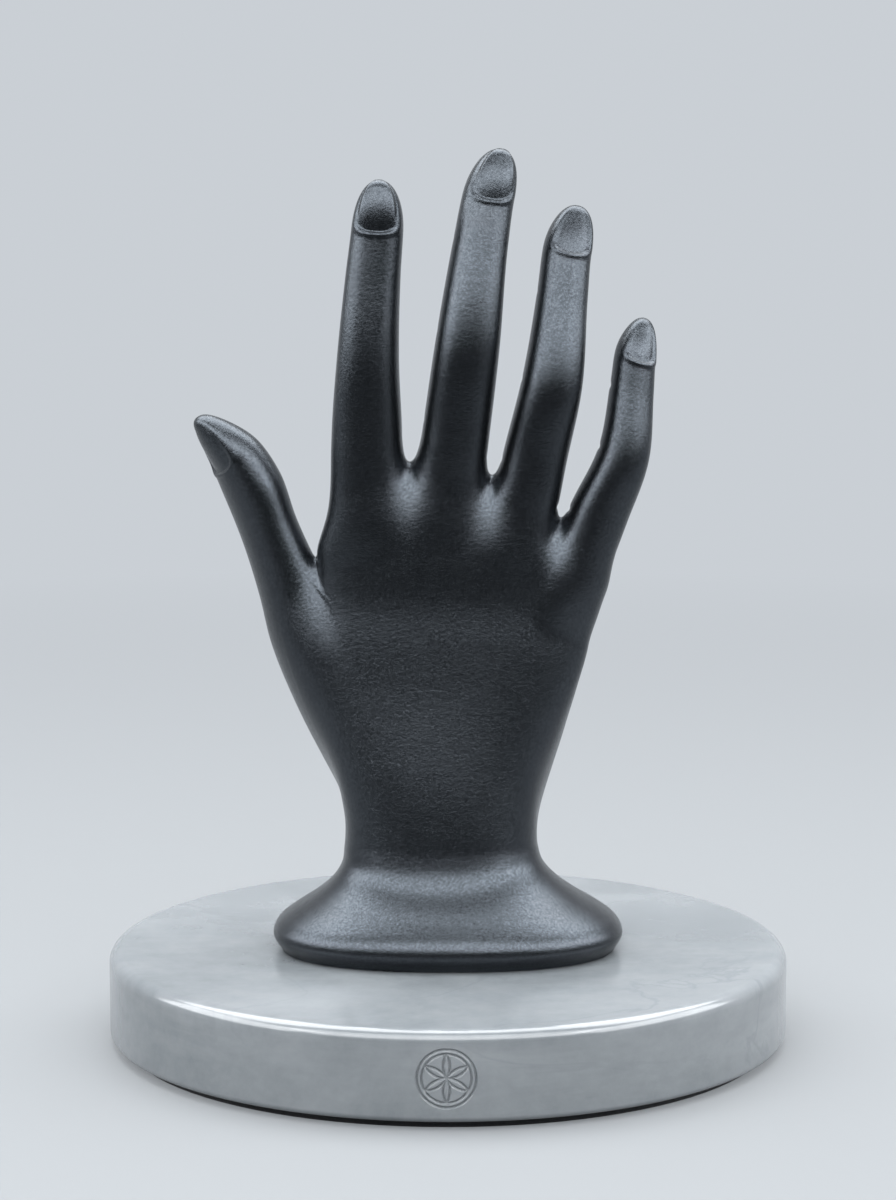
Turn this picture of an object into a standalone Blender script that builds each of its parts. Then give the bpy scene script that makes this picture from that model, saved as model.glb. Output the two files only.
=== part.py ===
"""Hand jewelry stand: a cast hand on a flared oval foot, screwed to a round marble base.

Run with: blender --background --python part.py
Units are metres. +Z is up and -Y is the front, where the back of the hand faces.
The origin is the centre of the underside.
"""
from dataclasses import dataclass
import math

import bmesh
import bpy
import numpy as np
from mathutils import Matrix


def mm(*values):
    """Turn millimetres into an array of metres."""
    return np.array(values, dtype=float) * 0.001


# Round marble base
BASE_RADIUS = 0.095
BASE_THICKNESS = 0.024
BASE_TOP_FILLET = 0.0035
BASE_LOWER_FILLET = 0.0015
ROUND_STEPS = 96
SMALL_STEPS = 32

# Soft pad under the base
PAD_THICKNESS = 0.002
PAD_INSET = 0.004
PAD_FILLET = 0.0004

# Clearance between pieces that touch
SEAT_GAP = 0.0003

# Socket head screw, from below through the base into the hand's foot
SCREW_DIAMETER = 0.006
SCREW_LENGTH = 0.028
SCREW_TIP_CHAMFER = 0.0008
HEAD_DIAMETER = 0.010
HEAD_HEIGHT = 0.006
HEAD_CHAMFER = 0.0006
SOCKET_ACROSS_FLATS = 0.005
SOCKET_DEPTH = 0.003
WASHER_DIAMETER = 0.014
WASHER_THICKNESS = 0.0016
COUNTERBORE_DIAMETER = 0.018
COUNTERBORE_DEPTH = 0.0095
SCREW_CLEARANCE = 0.0005

# Brass threaded insert, moulded into the foot
INSERT_DIAMETER = 0.010
INSERT_LENGTH = 0.016
INSERT_RIB_DEPTH = 0.0005
INSERT_RIBS = 4
INSERT_HOLE_EXTRA = 0.003

# Heights that follow from the sizes above
BASE_BOTTOM = PAD_THICKNESS + SEAT_GAP
BASE_TOP = BASE_BOTTOM + BASE_THICKNESS
HAND_BOTTOM = BASE_TOP + SEAT_GAP

# How the hand is meshed
VOXEL = 0.0014
HAND_TRIANGLES = 9600
SECTION_POINTS = 48
SECTION_STEP = 0.004
DOME_STEPS = 8
PROJECTION_STEPS = 4
PROBE = 0.00005
LEAST_SLOPE = 0.2
LONGEST_STEP = 0.003
SNAP = 0.0004
EPSILON = 1e-9


@dataclass
class Limb:
    """A form of rounded sections square to a straight line that leans in the XZ plane.

    Each profile is read at the stations, which are distances along the line from its root.
    Heights are taken from the underside of the foot.
    """
    root: tuple
    lean: float
    roll: float
    stations: np.ndarray
    side: np.ndarray
    back_shift: np.ndarray
    half_width: np.ndarray
    back_depth: np.ndarray
    pad_depth: np.ndarray
    dome: float
    tail: float
    squareness: float = 2.2
    crown: float = 0.0
    crown_centre: float = 0.0
    crown_start: float = 0.0

    @property
    def reach(self):
        """Distance from the root to the tip."""
        return self.stations[-1]

    def frame(self):
        """Return the unit directions along the limb, to its side and out of its nail side."""
        lean, roll = math.radians(self.lean), math.radians(self.roll)
        along = np.array([math.sin(lean), 0.0, math.cos(lean)])
        across = np.array([math.cos(lean), 0.0, -math.sin(lean)])
        rear = np.array([0.0, 1.0, 0.0])
        side = math.cos(roll) * across - math.sin(roll) * rear
        back = -math.cos(roll) * rear - math.sin(roll) * across
        return along, side, back

    def profile(self, values, at):
        """Read one profile at distances along the limb."""
        return smooth(at, self.stations, values)

    def coordinates(self, points):
        """Return distance along, offset to the side and offset out of the nail side."""
        along, side, back = self.frame()
        relative = points - np.array(self.root)
        s = relative @ along
        u = relative @ side - self.profile(self.side, s)
        v = relative @ back - self.profile(self.back_shift, s)
        return s + self.crown_drop(points[:, 0], s), u, v

    def crown_drop(self, x, s):
        """Return how much lower the arched top runs at x, from nothing at its start."""
        return self.crown * (x - self.crown_centre) ** 2 * fade(s, self.crown_start, self.reach)

    def field(self, points):
        """Return about how far points lie outside the limb, negative inside."""
        s, u, v = self.coordinates(points)
        half = self.profile(self.half_width, s)
        depth = np.where(v > 0, self.profile(self.back_depth, s), self.profile(self.pad_depth, s))
        past = np.maximum(s - self.reach + self.dome, 0) / self.dome
        before = np.maximum(self.stations[0] + self.tail - s, 0) / self.tail
        n = self.squareness
        radius = (np.abs(u / half) ** n + np.abs(v / depth) ** n + past ** n + before ** n + EPSILON) ** (1 / n)
        return (radius - 1) * np.minimum(half, depth)

    def section(self, s):
        """Return one closed ring of points round the limb."""
        along, side, back = self.frame()
        n = self.squareness
        angle = np.linspace(0, 2 * math.pi, SECTION_POINTS, endpoint=False)
        past = max(s - self.reach + self.dome, 0) / self.dome
        before = max(self.stations[0] + self.tail - s, 0) / self.tail
        scale = max(1 - past ** n - before ** n, 0) ** (1 / n)
        at = np.array([s])
        cosine, sine = np.cos(angle), np.sin(angle)
        depth = np.where(sine > 0, self.profile(self.back_depth, at), self.profile(self.pad_depth, at))
        u = scale * self.profile(self.half_width, at) * np.sign(cosine) * np.abs(cosine) ** (2 / n)
        v = scale * depth * np.sign(sine) * np.abs(sine) ** (2 / n)
        u = u + self.profile(self.side, at)
        v = v + self.profile(self.back_shift, at)
        ring = np.array(self.root) + s * along + np.outer(u, side) + np.outer(v, back)
        ring[:, 2] -= self.crown_drop(ring[:, 0], s)
        return ring

    def rings(self):
        """Return the distances at which the loft has its sections."""
        start, dome_start = self.stations[0], self.reach - self.dome
        quarter = np.linspace(0, math.pi / 2, DOME_STEPS, endpoint=False)[1:]
        tail = start + self.tail * (1 - np.sin(quarter[::-1]))
        body = np.arange(start + self.tail, dome_start, SECTION_STEP)
        dome = dome_start + self.dome * np.sin(quarter)
        return np.concatenate([tail, body, [dome_start], dome])


@dataclass
class Mound:
    """An egg-shaped swelling under the skin."""
    centre: tuple
    half_sizes: tuple
    lean: float = 0.0

    def field(self, points):
        """Return about how far points lie outside the mound, negative inside."""
        lean = math.radians(self.lean)
        x, y, z = (points - np.array(self.centre)).T
        across = x * math.cos(lean) - z * math.sin(lean)
        along = x * math.sin(lean) + z * math.cos(lean)
        a, b, c = self.half_sizes
        radius = np.sqrt((across / a) ** 2 + (y / b) ** 2 + (along / c) ** 2 + EPSILON)
        return (radius - 1) * min(self.half_sizes)


def fade(value, low, high):
    """Rise smoothly from 0 at low to 1 at high."""
    t = np.clip((value - low) / (high - low), 0, 1)
    return t * t * (3 - 2 * t)


def smooth(at, stations, values):
    """Read a smooth curve through the values at the stations, held level past its ends."""
    slopes = np.gradient(values, stations)
    at = np.clip(at, stations[0], stations[-1])
    i = np.clip(np.searchsorted(stations, at) - 1, 0, len(stations) - 2)
    gap = stations[i + 1] - stations[i]
    t = (at - stations[i]) / gap
    start = (1 + 2 * t) * (1 - t) ** 2 * values[i] + t * (1 - t) ** 2 * gap * slopes[i]
    end = t * t * (3 - 2 * t) * values[i + 1] + t * t * (t - 1) * gap * slopes[i + 1]
    return start + end


# The foot, wrist and palm in one upright form. The stations are heights above the marble.
TRUNK = Limb(
    root=(0.0, 0.0, 0.0), lean=0.0, roll=0.0,
    stations=mm(-8, 0, 4.5, 8, 11.5, 15, 19, 23, 28, 34, 42, 51, 60, 72, 86, 98, 110, 133),
    side=mm(0, 0, 0, 0, 0, -0.3, -0.8, -1.4, -1.9, -1.9, -2.1, -2.3, -1.8, -0.4, 1.2, 2.2, 2.6, 4.5),
    half_width=mm(39, 46.2, 48.8, 47.2, 42.6, 36.8, 31.6, 28.4, 27.1, 26.8, 27.7, 29.8, 32.6, 36.0, 38.0, 38.3,
                  38.2, 39.0),
    back_shift=mm(5, 5, 5, 4.8, 4.5, 3.9, 3.2, 2.6, 2.2, 2, 1.6, 1, 0.5, 0, -0.5, -1, -1, -1),
    back_depth=mm(24, 30.4, 32.8, 31.8, 28.8, 25.2, 22.2, 20.6, 19.6, 19.0, 18.2, 17.2, 16, 14.4, 13, 12,
                  11.6, 9.5),
    pad_depth=mm(24, 30.4, 32.8, 31.8, 28.8, 25.2, 22.2, 20.6, 19.6, 19.0, 18.4, 17.8, 16.8, 15.2, 13.6, 12.6,
                 12, 11),
    dome=0.020, tail=0.006, squareness=2.3, crown=11.0, crown_centre=-0.010, crown_start=0.070)

# Fingers and thumb. Stations run from inside the palm past the middle and end joints to the tip.
FINGERS = {
    "index": Limb(
        root=(-0.0225, 0.0, 0.124), lean=2.5, roll=3,
        stations=mm(-22, -6, 8, 20, 39, 64, 76, 88.9),
        side=mm(1.5, 0.8, -0.3, -0.6, -1.0, -0.5, 0.1, 0.2),
        back_shift=mm(-5.0, 0.2, 1.3, 2.0, 3.4, 2.8, 2.0, 0.4),
        half_width=mm(8.0, 9.2, 9.8, 9.7, 8.6, 7.5, 7.1, 6.7),
        back_depth=mm(6.5, 7.8, 8.2, 8.2, 7.9, 6.7, 6.1, 5.0),
        pad_depth=mm(4.5, 8.4, 9.6, 9.3, 8.4, 7.2, 7.0, 5.6),
        dome=0.0138, tail=0.010),
    "middle": Limb(
        root=(-0.0003, 0.0, 0.124), lean=8.5, roll=-8,
        stations=mm(-22, -6, 8, 22, 48, 73, 85, 98.6),
        side=mm(-0.5, -0.5, -0.6, -1.0, -1.8, -1.8, -1.2, 0.7),
        back_shift=mm(-5.0, 0.6, 2.2, 3.4, 5.8, 2.2, -0.2, -3.2),
        half_width=mm(7.8, 8.7, 9.3, 9.2, 8.8, 7.5, 7.1, 6.8),
        back_depth=mm(6.5, 7.8, 8.2, 8.4, 8.2, 6.8, 6.2, 5.2),
        pad_depth=mm(4.5, 8.4, 9.6, 9.2, 8.5, 7.3, 7.1, 5.6),
        dome=0.0138, tail=0.010),
    "ring": Limb(
        root=(0.0195, 0.0, 0.117), lean=10.5, roll=-10,
        stations=mm(-21, -6, 8, 20, 42, 66, 78, 90.3),
        side=mm(-0.3, -0.1, 0.1, 0.2, 0.5, -0.2, -0.5, 0.9),
        back_shift=mm(-5.0, 0.6, 2.2, 3.0, 5.4, 0.6, -2.4, -6.2),
        half_width=mm(7.6, 8.4, 9.0, 8.8, 8.3, 7.0, 6.7, 6.4),
        back_depth=mm(6.4, 7.6, 8.0, 8.1, 7.9, 6.4, 5.8, 4.9),
        pad_depth=mm(4.5, 8.2, 9.4, 9.0, 8.2, 7.0, 6.8, 5.4),
        dome=0.0132, tail=0.010),
    "little": Limb(
        root=(0.0355, 0.0, 0.102), lean=14.5, roll=-22,
        stations=mm(-19, -6, 6, 20, 38, 56, 66, 75.4),
        side=mm(-3.4, -2.0, -0.6, 0.5, 2.2, 1.0, 0.3, 1.4),
        back_shift=mm(-4.5, -0.4, 0.8, 1.8, 3.8, 0.8, -1.2, -3.8),
        half_width=mm(6.4, 7.4, 8.0, 8.2, 7.1, 6.1, 5.6, 5.0),
        back_depth=mm(6.0, 7.2, 7.6, 7.5, 6.8, 5.7, 5.2, 4.4),
        pad_depth=mm(4.0, 7.6, 8.6, 8.2, 7.1, 6.2, 6.0, 4.8),
        dome=0.0125, tail=0.010),
    "thumb": Limb(
        root=(-0.043, 0.0085, 0.092), lean=-26, roll=60,
        stations=mm(-62, -40, -22, -4, 8, 24, 38, 48, 61.5),
        side=mm(3, 3, 2.5, 1.6, 1.4, 2.0, 2.5, 2.4, 0.8),
        back_shift=mm(-2, -1.2, -1.4, -2.0, -2.8, -3.6, -4.5, -4.0, -0.6),
        half_width=mm(12, 14, 14, 13, 11.4, 10.0, 10.2, 9.0, 6.6),
        back_depth=mm(10, 12.0, 12.8, 11.6, 9.4, 7.6, 7.4, 6.6, 5.2),
        pad_depth=mm(12, 13.5, 12, 8.4, 7.8, 7.6, 8.2, 7.4, 5.2),
        dome=0.0155, tail=0.012),
}

# Swellings on the palm
MOUNDS = [
    Mound((-0.0180, 0.0105, 0.064), mm(13.0, 11.5, 26.0), lean=-24),
    Mound((0.0180, 0.0080, 0.062), mm(11.5, 11.0, 25.0), lean=8),
    Mound((-0.0165, 0.0070, 0.109), mm(11.5, 7.5, 9.0)),
    Mound((0.0030, 0.0075, 0.109), mm(12.0, 7.5, 9.0)),
    Mound((0.0220, 0.0065, 0.101), mm(11.0, 7.5, 9.0), lean=25),
]

# Radii of the skin's run from one form into the next
FINGER_WEB = 0.0035
PALM_BLEND = 0.006
THUMB_BLEND = 0.0060
THUMB_WEB = 0.0012
THUMB_WEB_HEIGHTS = (0.070, 0.100)
MOUND_BLEND = 0.008


# How nails sit in the skin
NAIL_FACING = (0.0, 0.0035)
NAIL_TIP_LIFT = 0.75
NAIL_TIP_RUN = 0.004
NAIL_SQUARENESS = 2.8
CUTICLE_CURVE = 0.6
FOLD_OFFSET = 0.9
FOLD_REACH = 0.006


@dataclass
class Nail:
    """A nail plate let into the back of a fingertip."""
    length: float
    half_width: float
    recess: float = 0.0006
    lip: float = 0.0003
    edge: float = 0.0009


NAILS = {
    "index": Nail(0.0145, 0.0050),
    "middle": Nail(0.0140, 0.0051),
    "ring": Nail(0.0128, 0.0048),
    "little": Nail(0.0115, 0.0042),
    "thumb": Nail(0.0165, 0.0070),
}

# Creases across the inside of each finger, as distances below its tip
FINGER_CREASES = {
    "index": mm(25, 48, 70),
    "middle": mm(26, 51, 76),
    "ring": mm(25, 49, 72),
    "little": mm(20, 37, 56),
    "thumb": mm(),
}
CREASE_DEPTH = 0.0007
CREASE_WIDTH = 0.0011
CREASE_FACING = 0.006
CREASE_SPREAD = 1.5
CREASE_REACH = 0.02
PALM_FACE = 0.004
PALM_CREASE_STEPS = 24
PALM_CREASE_FADE = 0.12

# Palm creases, each through three points (x, height above the marble)
PALM_CREASES = [
    (mm(-33, 101), mm(-2, 88), mm(-4, 42)),
    (mm(-33, 103), mm(-2, 97), mm(26, 74)),
    (mm(44, 96), mm(12, 100), mm(-8, 124)),
]


def smooth_union(a, b, radius):
    """Join two fields with a fillet of about this radius."""
    mix = np.maximum(radius - np.abs(a - b), 0) / radius
    return np.minimum(a, b) - mix * mix * radius / 4


def hand_field(points):
    """Return about how far points lie outside the whole hand, negative inside."""
    palm = TRUNK.field(points)
    for mound in MOUNDS:
        palm = smooth_union(palm, mound.field(points), MOUND_BLEND)
    web = THUMB_BLEND + (THUMB_WEB - THUMB_BLEND) * fade(points[:, 2], *THUMB_WEB_HEIGHTS)
    palm = smooth_union(palm, FINGERS["thumb"].field(points), web)
    fingers = None
    for name in ("index", "middle", "ring", "little"):
        finger = FINGERS[name].field(points)
        fingers = finger if fingers is None else smooth_union(fingers, finger, FINGER_WEB)
    return smooth_union(palm, fingers, PALM_BLEND)


def field_and_slope(points):
    """Return the field and its gradient, from four probes round each point."""
    corners = np.array([(1, -1, -1), (-1, -1, 1), (-1, 1, -1), (1, 1, 1)], dtype=float)
    values = [hand_field(points + PROBE * corner) for corner in corners]
    slope = sum(np.outer(value, corner) for value, corner in zip(values, corners)) / (4 * PROBE)
    return sum(values) / 4, slope


def settle(points):
    """Move points onto the hand's surface and return them with their outward directions."""
    for _ in range(PROJECTION_STEPS):
        value, slope = field_and_slope(points)
        steepness = np.maximum(np.linalg.norm(slope, axis=1), LEAST_SLOPE)
        step = np.clip(value / steepness, -LONGEST_STEP, LONGEST_STEP)
        points = points - slope * (step / steepness)[:, None]
    _, slope = field_and_slope(points)
    return points, slope / np.linalg.norm(slope, axis=1)[:, None]


def nail_relief(limb, nail, points):
    """Return the height that a nail adds: a sunk plate inside a raised fold of skin."""
    s, u, v = limb.coordinates(points)
    below = limb.reach - s
    straight = nail.length - CUTICLE_CURVE * nail.half_width
    end = np.maximum(below - straight, 0) / (CUTICLE_CURVE * nail.half_width)
    n = NAIL_SQUARENESS
    radius = (np.abs(u / nail.half_width) ** n + end ** n + EPSILON) ** (1 / n)
    outside = (radius - 1) * nail.half_width
    facing = fade(v, *NAIL_FACING) * (below < nail.length + FOLD_REACH)
    plate = fade(-outside, -nail.edge / 2, nail.edge / 2)
    towards_tip = 1 - NAIL_TIP_LIFT * fade(-below, -NAIL_TIP_RUN, 0)
    fold = np.exp(-((outside - FOLD_OFFSET * nail.edge) / nail.edge) ** 2)
    return facing * (nail.lip * fold - nail.recess * plate * towards_tip)


def finger_crease_relief(limb, creases, points):
    """Return the depth of the creases across the inside of a finger."""
    s, u, v = limb.coordinates(points)
    half = limb.profile(limb.half_width, s)
    inside = fade(-v, 0.0, CREASE_FACING) * (np.abs(u) < CREASE_SPREAD * half) * (v > -CREASE_REACH)
    groove = sum(np.exp(-((limb.reach - s - at) / CREASE_WIDTH) ** 2) for at in creases)
    return -CREASE_DEPTH * inside * groove


def palm_crease_relief(crease, points):
    """Return the depth of one curved crease in the palm."""
    start, middle, end = crease
    t = np.linspace(0, 1, PALM_CREASE_STEPS + 1)[:, None]
    bend = 2 * middle - (start + end) / 2
    path = (1 - t) ** 2 * start + 2 * t * (1 - t) * bend + t ** 2 * end
    flat = points[:, [0, 2]]
    gap = np.full(len(points), np.inf)
    depth = np.zeros(len(points))
    for a, b, at in zip(path[:-1], path[1:], t[:-1, 0]):
        run = b - a
        along = np.clip((flat - a) @ run / (run @ run), 0, 1)
        distance = np.linalg.norm(flat - a - along[:, None] * run, axis=1)
        nearer = distance < gap
        gap = np.where(nearer, distance, gap)
        swell = math.sin(math.pi * (PALM_CREASE_FADE + (1 - 2 * PALM_CREASE_FADE) * at))
        depth = np.where(nearer, swell, depth)
    return -CREASE_DEPTH * depth * np.exp(-(gap / CREASE_WIDTH) ** 2) * (points[:, 1] > PALM_FACE)


def relief(points):
    """Return how far the skin stands out at each point for nails and creases."""
    height = np.zeros(len(points))
    for name, limb in FINGERS.items():
        height += nail_relief(limb, NAILS[name], points)
        height += finger_crease_relief(limb, FINGER_CREASES[name], points)
    for crease in PALM_CREASES:
        height += palm_crease_relief(crease, points)
    return height


def loft(bm, limb):
    """Skin one limb with rings of faces between its sections."""
    rings = [[bm.verts.new(point) for point in limb.section(s)] for s in limb.rings()]
    for lower, upper in zip(rings, rings[1:]):
        for i in range(SECTION_POINTS):
            j = (i + 1) % SECTION_POINTS
            bm.faces.new((lower[i], lower[j], upper[j], upper[i]))
    bm.faces.new(rings[0][::-1])
    bm.faces.new(rings[-1])


def add_mound(bm, mound):
    """Add one mound as a rounded ball of faces."""
    turn = Matrix.Rotation(math.radians(mound.lean), 4, "Y")
    shape = Matrix.Translation(mound.centre) @ turn @ Matrix.Diagonal((*mound.half_sizes, 1))
    bmesh.ops.create_icosphere(bm, subdivisions=3, radius=1, matrix=shape)


def evaluated_mesh(obj):
    """Return a new mesh with the object's modifiers applied."""
    graph = bpy.context.evaluated_depsgraph_get()
    return bpy.data.meshes.new_from_object(obj.evaluated_get(graph))


def fused_limbs():
    """Loft every limb, fuse them into one skin and lay it on the hand's surface."""
    bm = bmesh.new()
    for limb in (TRUNK, *FINGERS.values()):
        loft(bm, limb)
    for mound in MOUNDS:
        add_mound(bm, mound)
    bmesh.ops.recalc_face_normals(bm, faces=bm.faces[:])
    obj = add_object("hand", bm)
    remesh = obj.modifiers.new("fuse", "REMESH")
    remesh.mode = "VOXEL"
    remesh.voxel_size = VOXEL
    mesh = evaluated_mesh(obj)
    obj.modifiers.clear()
    points = np.empty(len(mesh.vertices) * 3, dtype=np.float32)
    mesh.vertices.foreach_get("co", points)
    points, outward = settle(points.reshape(-1, 3).astype(float))
    points = points + outward * relief(points)[:, None]
    mesh.vertices.foreach_set("co", points.astype(np.float32).ravel())
    obj.data = mesh
    thin_out(obj, HAND_TRIANGLES)
    return obj


def thin_out(obj, triangles):
    """Reduce the mesh to about this many triangles."""
    obj.data.calc_loop_triangles()
    decimate = obj.modifiers.new("thin_out", "DECIMATE")
    decimate.ratio = min(1.0, triangles / len(obj.data.loop_triangles))
    mesh = evaluated_mesh(obj)
    obj.modifiers.clear()
    obj.data = mesh


def cut_flat(obj):
    """Cut the foot off level with the marble and close it with one flat face."""
    bm = bmesh.new()
    bm.from_mesh(obj.data)
    for vert in bm.verts:
        if abs(vert.co.z) < SNAP:
            vert.co.z = 0.0
    cut = bmesh.ops.bisect_plane(bm, geom=bm.verts[:] + bm.edges[:] + bm.faces[:], dist=1e-7,
                                 plane_co=(0, 0, 0), plane_no=(0, 0, 1), clear_inner=True)
    rim = [item for item in cut["geom_cut"] if isinstance(item, bmesh.types.BMEdge)]
    bmesh.ops.edgenet_fill(bm, edges=rim)
    bmesh.ops.recalc_face_normals(bm, faces=bm.faces[:])
    bm.to_mesh(obj.data)
    bm.free()


def add_object(name, bm, location=(0, 0, 0)):
    """Write a bmesh to a new object in the scene."""
    mesh = bpy.data.meshes.new(name)
    bm.to_mesh(mesh)
    bm.free()
    obj = bpy.data.objects.new(name, mesh)
    obj.location = location
    bpy.context.scene.collection.objects.link(obj)
    return obj


def turned(profile, steps=ROUND_STEPS):
    """Turn a closed outline of (radius, height) points once round the Z axis."""
    bm = bmesh.new()
    columns = []
    for i in range(steps):
        angle = 2 * math.pi * i / steps
        column = [bm.verts.new((r * math.cos(angle), r * math.sin(angle), z)) for r, z in profile]
        columns.append(column)
    for i, column in enumerate(columns):
        following = columns[(i + 1) % steps]
        for j in range(len(profile)):
            k = (j + 1) % len(profile)
            bm.faces.new((column[j], following[j], following[k], column[k]))
    bmesh.ops.recalc_face_normals(bm, faces=bm.faces[:])
    return bm


def turned_solid(profile, steps=ROUND_STEPS):
    """Turn an outline that is open at the axis and close it with a flat face at each end."""
    bm = bmesh.new()
    rings = []
    for r, z in profile:
        angles = [2 * math.pi * i / steps for i in range(steps)]
        rings.append([bm.verts.new((r * math.cos(a), r * math.sin(a), z)) for a in angles])
    for lower, upper in zip(rings, rings[1:]):
        for i in range(steps):
            j = (i + 1) % steps
            bm.faces.new((lower[i], lower[j], upper[j], upper[i]))
    bm.faces.new(rings[0][::-1])
    bm.faces.new(rings[-1])
    bmesh.ops.recalc_face_normals(bm, faces=bm.faces[:])
    return bm


def fillet(centre, radius, start, end, points):
    """Return an arc of (radius, height) points between two angles in degrees."""
    angles = [math.radians(start + (end - start) * i / (points - 1)) for i in range(points)]
    return [(centre[0] + radius * math.cos(a), centre[1] + radius * math.sin(a)) for a in angles]


def material(name, colour, roughness, metallic=0.0):
    """Return a Principled material."""
    result = bpy.data.materials.new(name)
    result.use_nodes = True
    shader = result.node_tree.nodes["Principled BSDF"]
    shader.inputs["Base Color"].default_value = (*colour, 1)
    shader.inputs["Roughness"].default_value = roughness
    shader.inputs["Metallic"].default_value = metallic
    return result


def finish(obj, look, sharp_angle=40):
    """Give an object its material and smooth shading with sharp corners."""
    obj.data.materials.clear()
    obj.data.materials.append(look)
    obj.data.shade_smooth()
    obj.data.set_sharp_from_angle(angle=math.radians(sharp_angle))


def cut(obj, cutter):
    """Take the cutter's shape out of an object."""
    modifier = obj.modifiers.new("cut_" + cutter.name, "BOOLEAN")
    modifier.operation = "DIFFERENCE"
    modifier.solver = "EXACT"
    modifier.object = cutter
    cutter.hide_render = True
    cutter.display_type = "WIRE"


def make_hand():
    """The cast hand, with its moulded hole for the threaded insert."""
    hand = fused_limbs()
    cut_flat(hand)
    hand.location.z = HAND_BOTTOM
    hole = turned_solid([(INSERT_DIAMETER / 2 + SEAT_GAP, -INSERT_HOLE_EXTRA),
                         (INSERT_DIAMETER / 2 + SEAT_GAP, INSERT_LENGTH + INSERT_HOLE_EXTRA)], SMALL_STEPS)
    cut(hand, add_object("insert_hole", hole, (0, 0, HAND_BOTTOM)))
    finish(hand, material("charcoal_resin", (0.022, 0.024, 0.028), 0.42), 60)


def make_marble_base():
    """The marble disc, with its counterbored hole for the screw."""
    bore = SCREW_DIAMETER / 2 + SCREW_CLEARANCE
    profile = [(bore, BASE_THICKNESS), (bore, COUNTERBORE_DEPTH), (COUNTERBORE_DIAMETER / 2, COUNTERBORE_DEPTH),
               (COUNTERBORE_DIAMETER / 2, 0)]
    lower, upper = BASE_LOWER_FILLET, BASE_TOP_FILLET
    profile += fillet((BASE_RADIUS - lower, lower), lower, -90, 0, 4)
    profile += fillet((BASE_RADIUS - upper, BASE_THICKNESS - upper), upper, 0, 90, 6)
    base = add_object("marble_base", turned(profile), (0, 0, BASE_BOTTOM))
    finish(base, material("grey_marble", (0.50, 0.53, 0.56), 0.16))


def make_base_pad():
    """The soft disc that the stand rests on."""
    radius = BASE_RADIUS - PAD_INSET
    profile = [(radius - PAD_FILLET, 0), (radius, PAD_FILLET), (radius, PAD_THICKNESS - PAD_FILLET),
               (radius - PAD_FILLET, PAD_THICKNESS)]
    pad = add_object("base_pad", turned_solid(profile))
    finish(pad, material("black_foam", (0.015, 0.015, 0.016), 0.9))


def make_washer():
    """The washer between the screw's head and the stone."""
    bore = SCREW_DIAMETER / 2 + SEAT_GAP
    top = BASE_BOTTOM + COUNTERBORE_DEPTH - SEAT_GAP
    profile = [(bore, 0), (WASHER_DIAMETER / 2, 0), (WASHER_DIAMETER / 2, WASHER_THICKNESS),
               (bore, WASHER_THICKNESS)]
    washer = add_object("washer", turned(profile, SMALL_STEPS), (0, 0, top - WASHER_THICKNESS))
    finish(washer, material("zinc_plate", (0.55, 0.56, 0.58), 0.35, 1.0))


def make_fixing_bolt():
    """The socket head screw, head down in the counterbore."""
    head, shank = HEAD_DIAMETER / 2, SCREW_DIAMETER / 2
    top = HEAD_HEIGHT + SCREW_LENGTH
    profile = [(head - HEAD_CHAMFER, 0), (head, HEAD_CHAMFER), (head, HEAD_HEIGHT), (shank, HEAD_HEIGHT),
               (shank, top - SCREW_TIP_CHAMFER), (shank - SCREW_TIP_CHAMFER, top)]
    under_washer = BASE_BOTTOM + COUNTERBORE_DEPTH - SEAT_GAP - WASHER_THICKNESS - SEAT_GAP
    place = (0, 0, under_washer - HEAD_HEIGHT)
    bolt = add_object("fixing_bolt", turned_solid(profile, SMALL_STEPS), place)
    corner = SOCKET_ACROSS_FLATS / 2 / math.cos(math.radians(30))
    socket = turned_solid([(corner, -SOCKET_DEPTH), (corner, SOCKET_DEPTH)], 6)
    cut(bolt, add_object("hex_socket", socket, place))
    finish(bolt, material("black_steel", (0.06, 0.06, 0.065), 0.4, 1.0))


def make_threaded_insert():
    """The ribbed brass insert in the foot, which takes the screw."""
    bore = SCREW_DIAMETER / 2 + SEAT_GAP
    outer = INSERT_DIAMETER / 2
    pitch = INSERT_LENGTH / (2 * INSERT_RIBS + 1)
    profile = [(bore, INSERT_LENGTH), (bore, 0)]
    for i in range(2 * INSERT_RIBS + 1):
        radius = outer if i % 2 == 0 else outer - INSERT_RIB_DEPTH
        profile += [(radius, i * pitch), (radius, (i + 1) * pitch)]
    insert = add_object("threaded_insert", turned(profile, SMALL_STEPS), (0, 0, HAND_BOTTOM))
    finish(insert, material("brass", (0.62, 0.44, 0.16), 0.35, 1.0))


def clear_scene():
    """Remove whatever the scene holds."""
    for obj in list(bpy.data.objects):
        bpy.data.objects.remove(obj, do_unlink=True)


def main():
    """Build the stand."""
    clear_scene()
    make_base_pad()
    make_marble_base()
    make_washer()
    make_fixing_bolt()
    make_threaded_insert()
    make_hand()


main()
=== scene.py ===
from dataclasses import dataclass
import math

import bmesh
import bpy
import numpy as np
from mathutils import Matrix, Vector


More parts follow.
